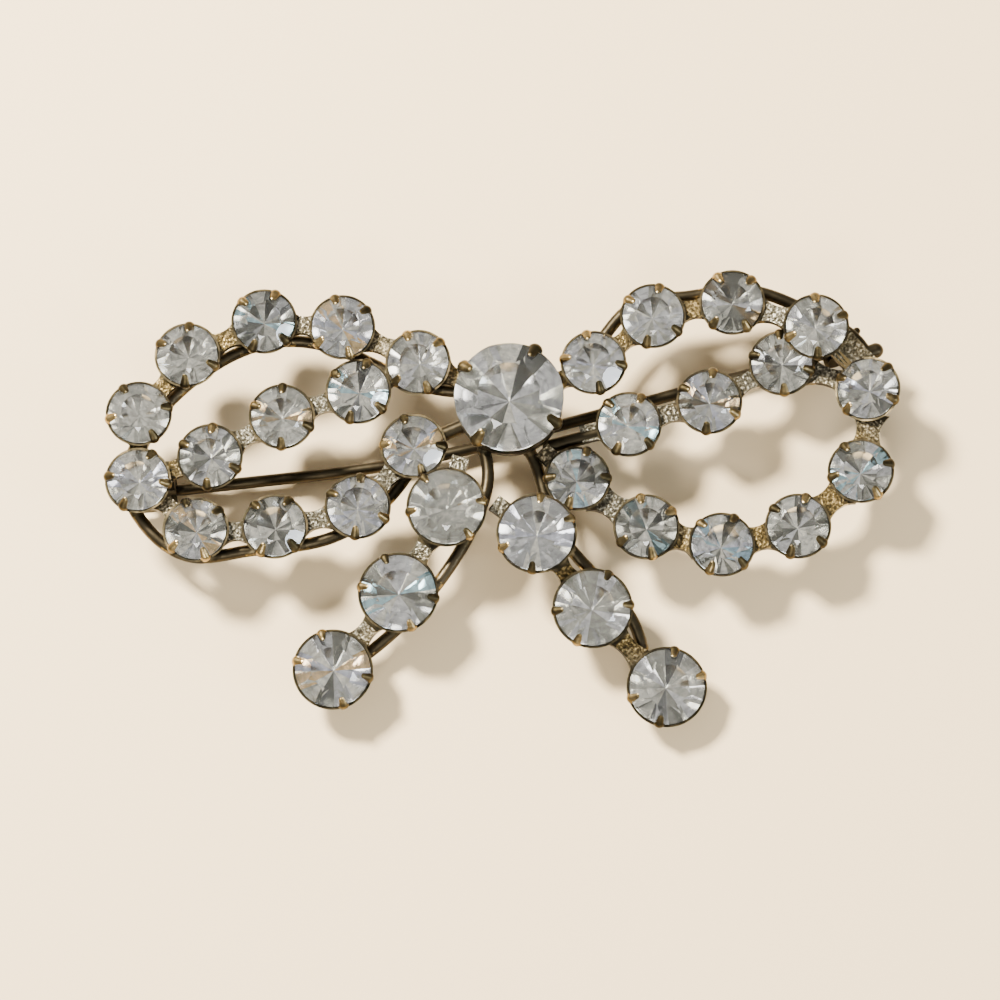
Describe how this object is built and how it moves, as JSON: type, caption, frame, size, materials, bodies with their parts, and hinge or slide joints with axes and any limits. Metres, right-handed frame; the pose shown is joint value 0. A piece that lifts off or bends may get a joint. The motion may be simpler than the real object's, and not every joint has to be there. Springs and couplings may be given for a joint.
{
  "type": "rhinestone bow brooch",
  "caption": "Bow-shaped brooch of round clear stones in claw settings joined by link bars, with a hinged pin and a rolled catch on its back.",
  "frame": {"origin": "middle of the brooch's outline, at the level of the surface that it rests on", "axes": "+X from the left loop to the right loop as worn, +Y from the tails to the top of the bow, +Z out of the face, which leans a little because the brooch rests on its hinge, its catch and one tail"},
  "size_m": [0.046, 0.0266, 0.0074],
  "materials": {
    "aged_brass": "aged and tarnished, worn bright on the claw tips",
    "pin_wire": "aged brown wire, dull sheen",
    "crystal": "clear cut crystal with a silver foil behind"
  },
  "bodies": {
    "brooch": {"bow_frame": "aged_brass", "hinge_rivet": "aged_brass", "stone_centre": "crystal", "stone_left_1": "crystal", "stone_left_10": "crystal", "stone_left_2": "crystal", "stone_left_3": "crystal", "stone_left_4": "crystal", "stone_left_5": "crystal", "stone_left_6": "crystal", "stone_left_7": "crystal", "stone_left_8": "crystal", "stone_left_9": "crystal", "stone_left_inner_1": "crystal", "stone_left_inner_2": "crystal", "stone_left_inner_3": "crystal", "stone_left_tail_1": "crystal", "stone_left_tail_2": "crystal", "stone_left_tail_3": "crystal", "stone_right_1": "crystal", "stone_right_10": "crystal", "stone_right_2": "crystal", "stone_right_3": "crystal", "stone_right_4": "crystal", "stone_right_5": "crystal", "stone_right_6": "crystal", "stone_right_7": "crystal", "stone_right_8": "crystal", "stone_right_9": "crystal", "stone_right_inner_1": "crystal", "stone_right_inner_2": "crystal", "stone_right_inner_3": "crystal", "stone_right_tail_1": "crystal", "stone_right_tail_2": "crystal", "stone_right_tail_3": "crystal"},
    "pin": {"pin_stem": "pin_wire"}
  },
  "joints": [
    {"name": "pin_hinge", "type": "hinge", "parent": "brooch", "child": "pin", "pos_m": [0.01925, 0.00962, 0.00089], "axis": [0.2404, -0.8693, 0.4319], "range_deg": [0, 105]}
  ]
}
